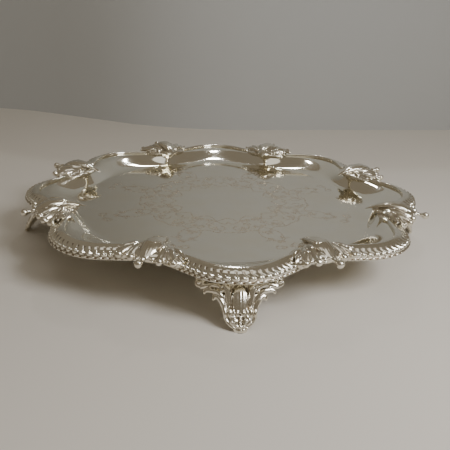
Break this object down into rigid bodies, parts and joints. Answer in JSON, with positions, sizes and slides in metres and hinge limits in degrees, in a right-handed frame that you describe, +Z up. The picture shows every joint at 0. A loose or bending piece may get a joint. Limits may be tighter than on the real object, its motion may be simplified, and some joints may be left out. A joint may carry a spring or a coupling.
{
  "type": "footed salver",
  "caption": "Round lobed silver salver: shallow dished plate with gadrooned border, shell mounts and cast scroll feet, for serving or display.",
  "frame": {"origin": "centre of the salver at the level of the surface its feet stand on", "axes": "+Z up through the middle of the plate; -Y towards the lobe and foot named front"},
  "size_m": [0.316, 0.316, 0.0433],
  "materials": {
    "plate_silver": "polished sheet silver with a fine engraved scroll band",
    "border_silver": "polished gadroons with darker tarnish between them",
    "cast_silver": "cast silver, bright on the high points and darker in the recesses"
  },
  "bodies": {
    "root": {"plate": "plate_silver", "gadroon_border_front": "border_silver", "gadroon_border_front_right": "border_silver", "gadroon_border_right": "border_silver", "gadroon_border_back_right": "border_silver", "gadroon_border_back": "border_silver", "gadroon_border_back_left": "border_silver", "gadroon_border_left": "border_silver", "gadroon_border_front_left": "border_silver", "shell_mount_1": "cast_silver", "shell_mount_2": "cast_silver", "shell_mount_3": "cast_silver", "shell_mount_4": "cast_silver", "shell_mount_5": "cast_silver", "shell_mount_6": "cast_silver", "shell_mount_7": "cast_silver", "shell_mount_8": "cast_silver", "foot_front": "cast_silver", "foot_right": "cast_silver", "foot_back": "cast_silver", "foot_left": "cast_silver"}
  },
  "joints": []
}
